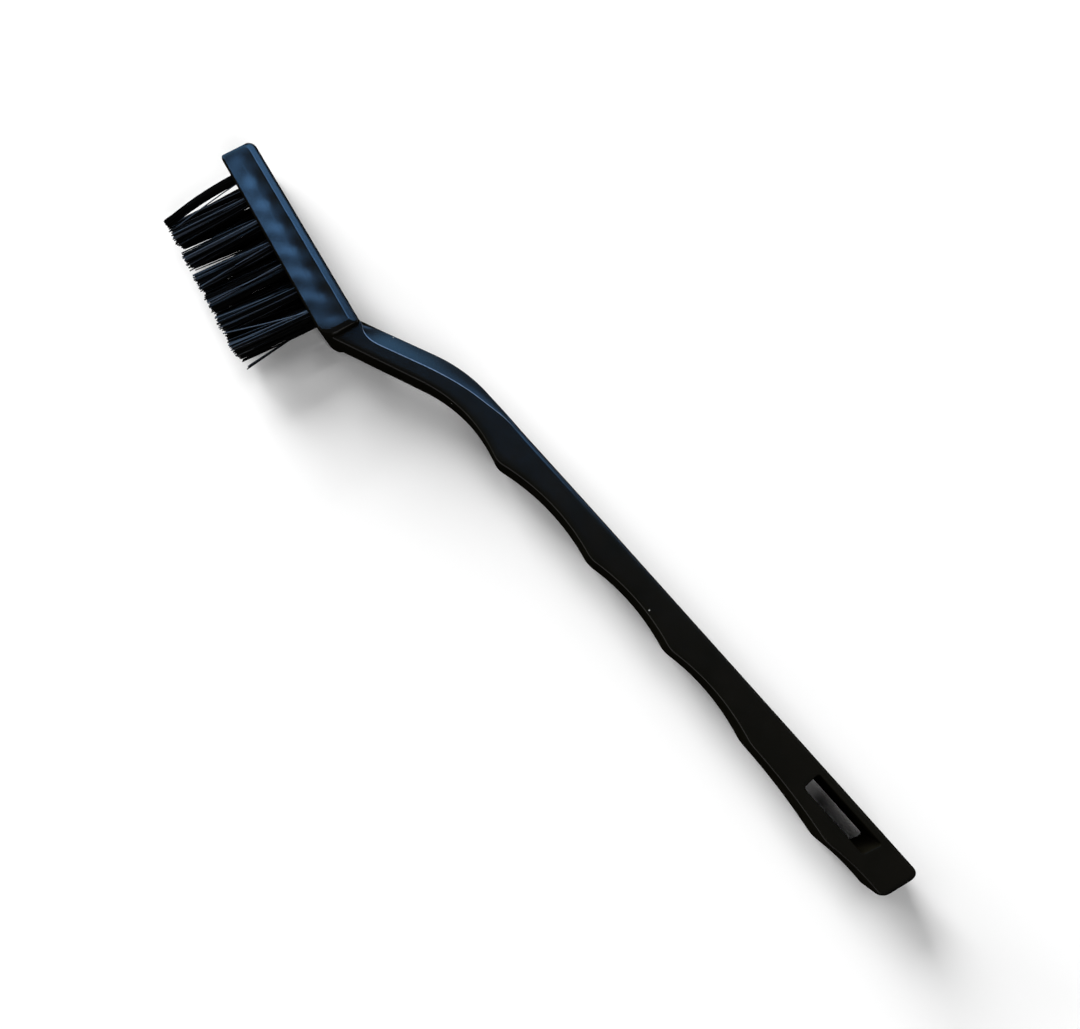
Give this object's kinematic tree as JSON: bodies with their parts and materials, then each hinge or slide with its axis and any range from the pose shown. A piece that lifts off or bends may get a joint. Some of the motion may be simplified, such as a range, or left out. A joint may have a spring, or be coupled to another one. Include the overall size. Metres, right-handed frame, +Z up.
{
  "type": "hand detail brush",
  "caption": "Slim one-piece hand brush with a finger-grooved grip, a cranked neck, staggered rows of stiff bristle tufts and a hang slot.",
  "frame": {"origin": "centre of the bounding box's bottom face, with the brush lying on its side", "axes": "+X along the straight back of the grip towards the butt end; +Y out of the back, so the bristles point towards -Y; +Z up, across the brush's width"},
  "size_m": [0.177, 0.0302, 0.0108],
  "materials": {
    "black_plastic": "semi-gloss moulded plastic",
    "black_nylon": "drawn nylon filament, semi-gloss",
    "anchor_steel": "plain drawn wire"
  },
  "bodies": {
    "root": {"handle": "black_plastic", "tuft_a1": "black_nylon", "tuft_a2": "black_nylon", "tuft_a3": "black_nylon", "tuft_a4": "black_nylon", "tuft_a5": "black_nylon", "tuft_a6": "black_nylon", "tuft_a7": "black_nylon", "tuft_b1": "black_nylon", "tuft_b2": "black_nylon", "tuft_b3": "black_nylon", "tuft_b4": "black_nylon", "tuft_b5": "black_nylon", "tuft_b6": "black_nylon", "tuft_c1": "black_nylon", "tuft_c2": "black_nylon", "tuft_c3": "black_nylon", "tuft_c4": "black_nylon", "tuft_c5": "black_nylon", "tuft_c6": "black_nylon", "tuft_c7": "black_nylon", "anchor_a1": "anchor_steel", "anchor_a2": "anchor_steel", "anchor_a3": "anchor_steel", "anchor_a4": "anchor_steel", "anchor_a5": "anchor_steel", "anchor_a6": "anchor_steel", "anchor_a7": "anchor_steel", "anchor_b1": "anchor_steel", "anchor_b2": "anchor_steel", "anchor_b3": "anchor_steel", "anchor_b4": "anchor_steel", "anchor_b5": "anchor_steel", "anchor_b6": "anchor_steel", "anchor_c1": "anchor_steel", "anchor_c2": "anchor_steel", "anchor_c3": "anchor_steel", "anchor_c4": "anchor_steel", "anchor_c5": "anchor_steel", "anchor_c6": "anchor_steel", "anchor_c7": "anchor_steel"}
  },
  "joints": []
}
